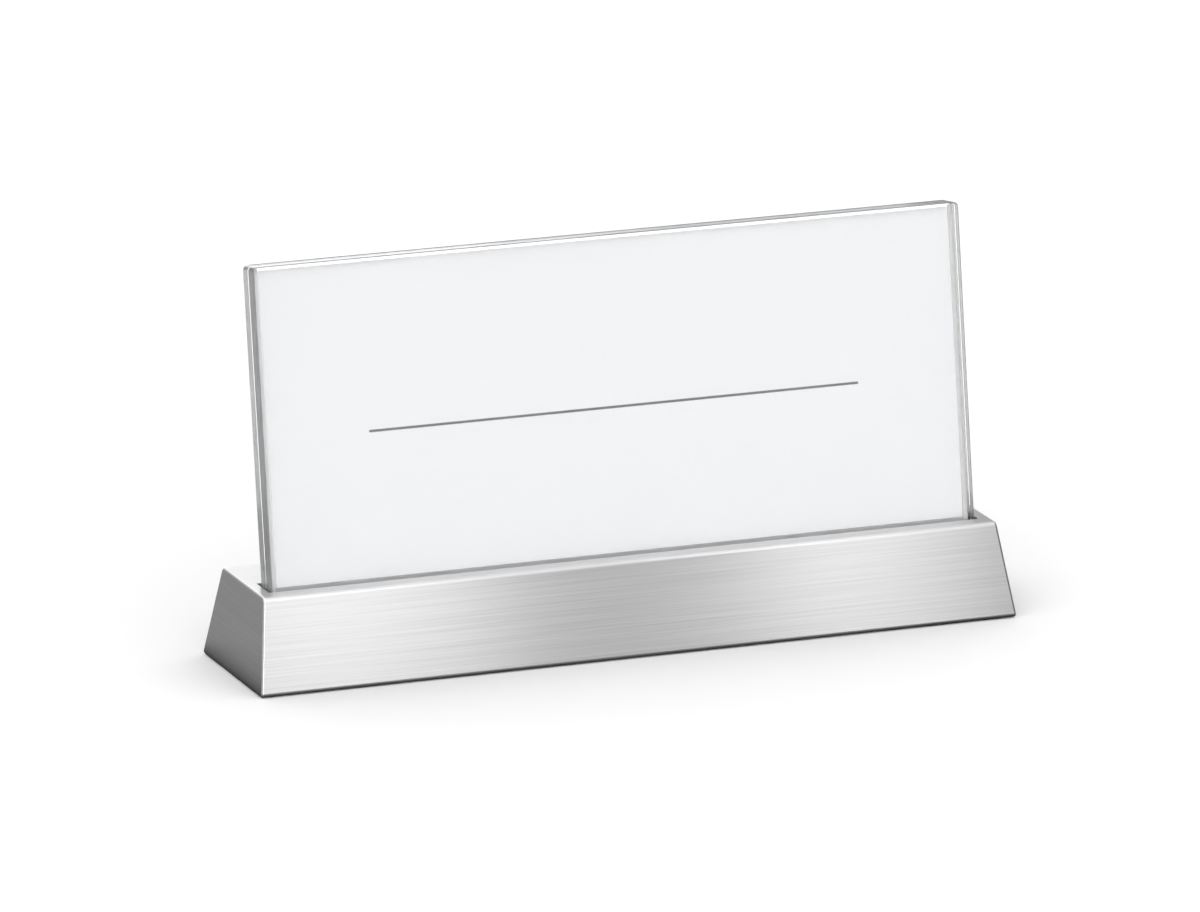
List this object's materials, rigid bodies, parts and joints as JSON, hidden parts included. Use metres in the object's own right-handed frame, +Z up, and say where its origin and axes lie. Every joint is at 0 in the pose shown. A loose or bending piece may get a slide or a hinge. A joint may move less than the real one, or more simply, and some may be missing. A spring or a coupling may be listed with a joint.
{
  "type": "desk name plate",
  "caption": "Desk name plate: a clear pocket with a slip-in card leans back in the slot of a weighted, sloping brushed steel base.",
  "frame": {"origin": "on the desk, under the centre of the base", "axes": "+X along the plate to the reader's right, +Y to the back, +Z up"},
  "size_m": [0.2308, 0.0498, 0.118],
  "materials": {
    "brushed_cover": "brushed along the length, satin",
    "plain_steel": "cold drawn, dull",
    "black_plate": "powder coated, matte",
    "zinc_screw": "zinc plated",
    "soft_foot": "matte",
    "black_channel": "extruded strip, matte",
    "grip_strip": "matte",
    "clear_pane": "clear acrylic, flame polished edges",
    "spacer_strip": "translucent strip",
    "white_card": "smooth uncoated card"
  },
  "bodies": {
    "base": {"base_cover": "brushed_cover", "left_end_block": "plain_steel", "right_end_block": "plain_steel", "ballast_bar": "plain_steel", "bottom_plate": "black_plate", "cover_screws": "zinc_screw", "channel_screws": "zinc_screw", "ballast_screws": "zinc_screw", "front_left_foot": "soft_foot", "front_right_foot": "soft_foot", "rear_left_foot": "soft_foot", "rear_right_foot": "soft_foot", "channel_floor": "black_channel", "front_rail": "black_channel", "rear_rail": "black_channel", "left_end_stop": "black_channel", "right_end_stop": "black_channel", "front_grip_strip": "grip_strip", "rear_grip_strip": "grip_strip"},
    "holder": {"front_pane": "clear_pane", "rear_pane": "clear_pane", "left_spacer": "spacer_strip", "right_spacer": "spacer_strip", "bottom_spacer": "spacer_strip"},
    "card": {"insert_card": "white_card"}
  },
  "joints": [
    {"name": "holder_lift", "type": "slide", "parent": "base", "child": "holder", "axis": [0, 0.1513, 0.9885], "range_m": [0, 0.016]},
    {"name": "card_slide", "type": "slide", "parent": "holder", "child": "card", "axis": [0, 0.1513, 0.9885], "range_m": [0, 0.093]}
  ]
}
